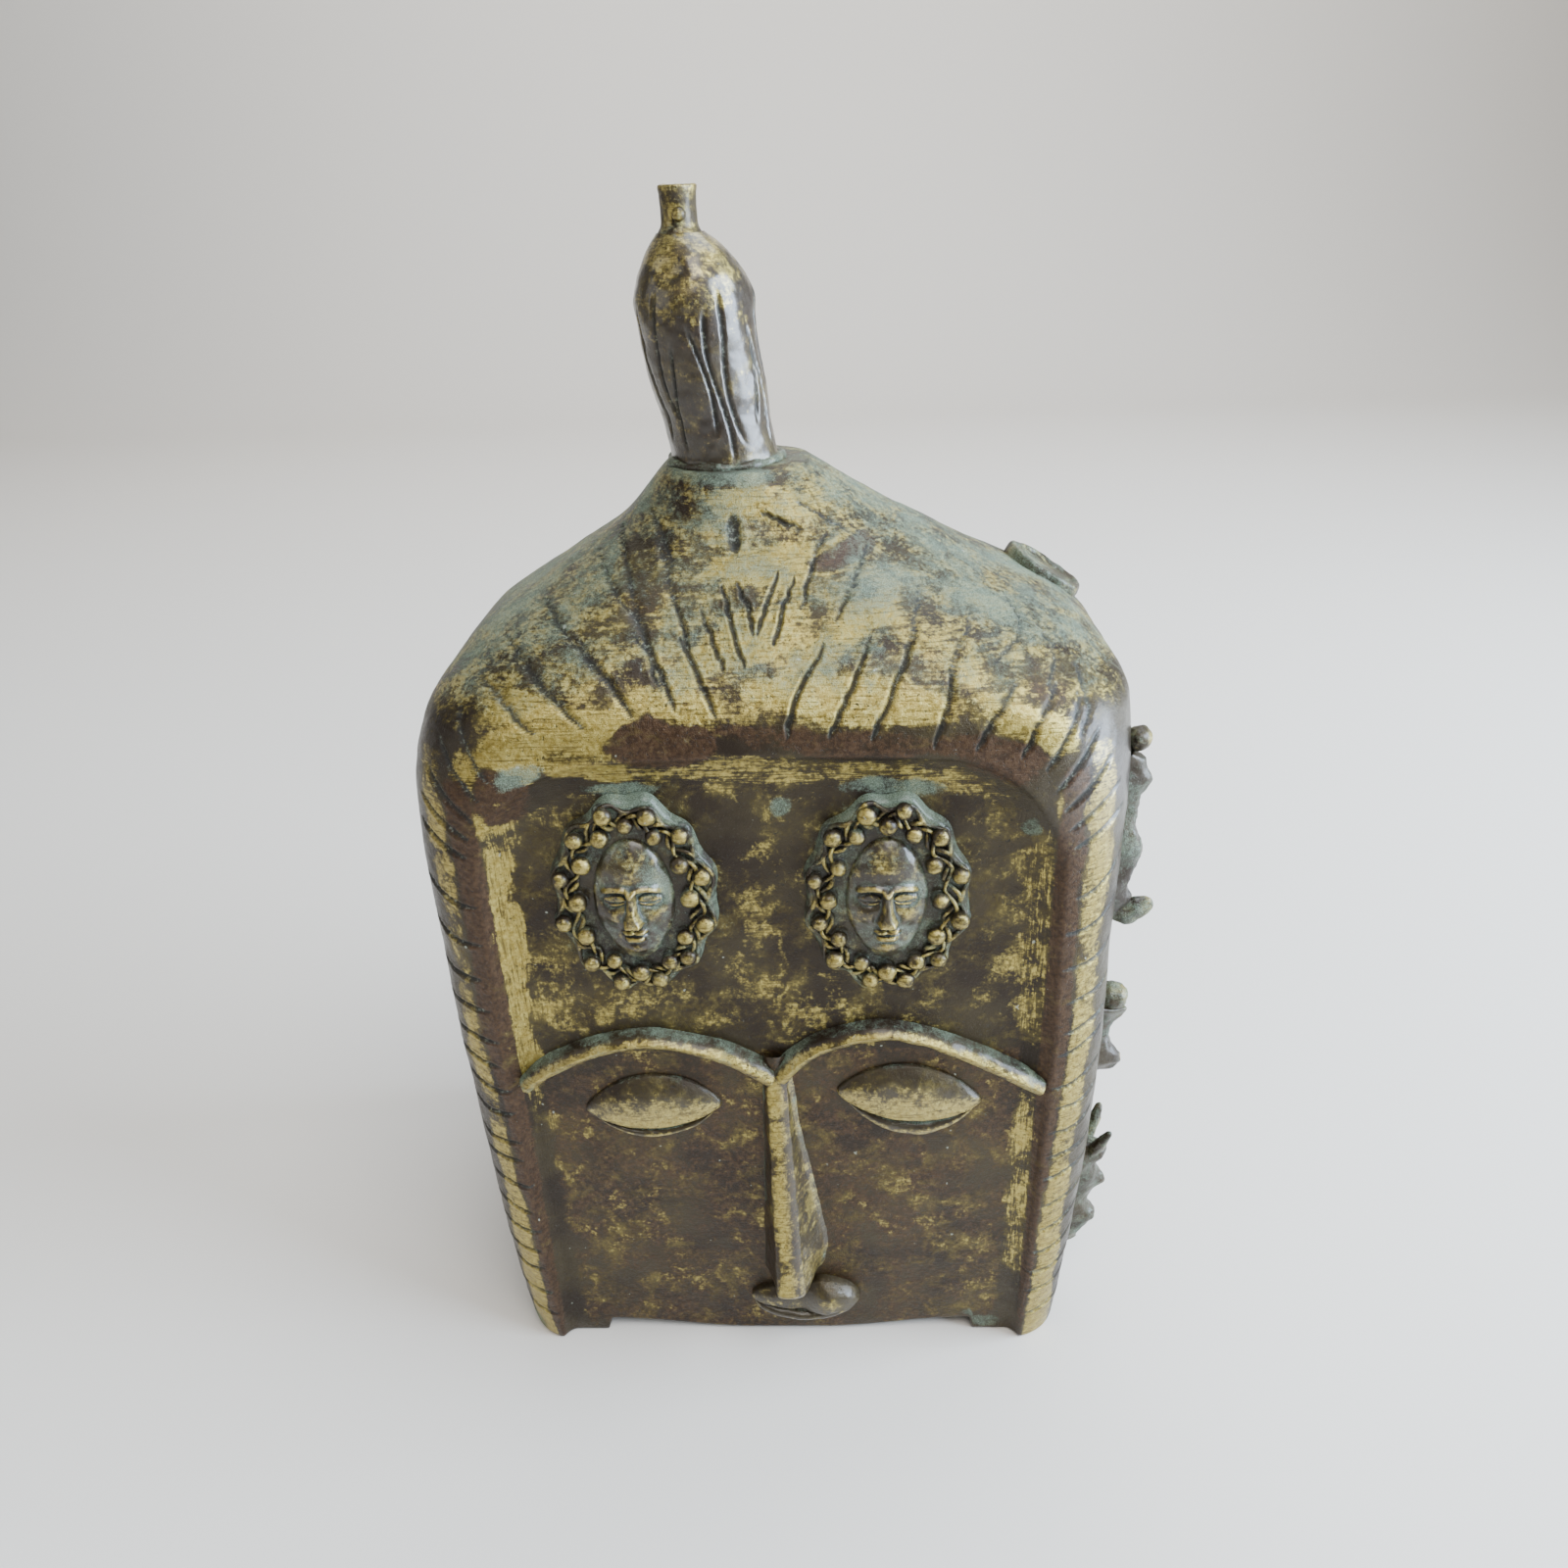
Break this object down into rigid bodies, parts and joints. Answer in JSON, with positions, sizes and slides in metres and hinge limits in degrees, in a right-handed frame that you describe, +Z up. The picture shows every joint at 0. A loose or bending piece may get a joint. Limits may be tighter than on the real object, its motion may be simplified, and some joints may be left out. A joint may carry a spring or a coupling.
{
  "type": "sculpture_head",
  "caption": "Hollow cast bronze head with a schematic mask face, closed eyes, beaded forehead medallions, incised hair and a leaning topknot.",
  "frame": {"origin": "centre of the bounding box, on the ground plane under the open base", "axes": "+Z up, the mask looks toward -Y, +X to the right of someone facing the mask"},
  "size_m": [0.2047, 0.1407, 0.331],
  "materials": {
    "hair_bronze": "satin",
    "mask_bronze": "satin",
    "relief_bronze": "satin"
  },
  "bodies": {
    "root": {"hair_shell": "hair_bronze", "topknot": "hair_bronze", "topknot_neck": "hair_bronze", "topknot_nub": "hair_bronze", "face_panel": "mask_bronze", "nose": "mask_bronze", "brow_left": "mask_bronze", "brow_right": "mask_bronze", "upper_eyelid_left": "mask_bronze", "lower_eyelid_left": "mask_bronze", "upper_eyelid_right": "mask_bronze", "lower_eyelid_right": "mask_bronze", "upper_lip": "mask_bronze", "lower_lip": "mask_bronze", "topknot_braze_ring": "relief_bronze", "medallion_left_plate": "relief_bronze", "medallion_left_face": "relief_bronze", "medallion_left_inner_beads": "relief_bronze", "medallion_left_outer_beads": "relief_bronze", "medallion_left_curl_wire": "relief_bronze", "medallion_right_plate": "relief_bronze", "medallion_right_face": "relief_bronze", "medallion_right_inner_beads": "relief_bronze", "medallion_right_outer_beads": "relief_bronze", "medallion_right_curl_wire": "relief_bronze", "side_medallion_plate": "relief_bronze", "side_medallion_face": "relief_bronze", "side_medallion_inner_beads": "relief_bronze", "side_medallion_outer_beads": "relief_bronze", "side_medallion_curl_wire": "relief_bronze", "figure_body": "relief_bronze", "figure_head": "relief_bronze", "figure_fin": "relief_bronze", "bud_body": "relief_bronze", "bud_disc": "relief_bronze", "leaf_body": "relief_bronze", "leaf_prong_front": "relief_bronze", "leaf_prong_back": "relief_bronze", "crown_disc": "relief_bronze"}
  },
  "joints": []
}
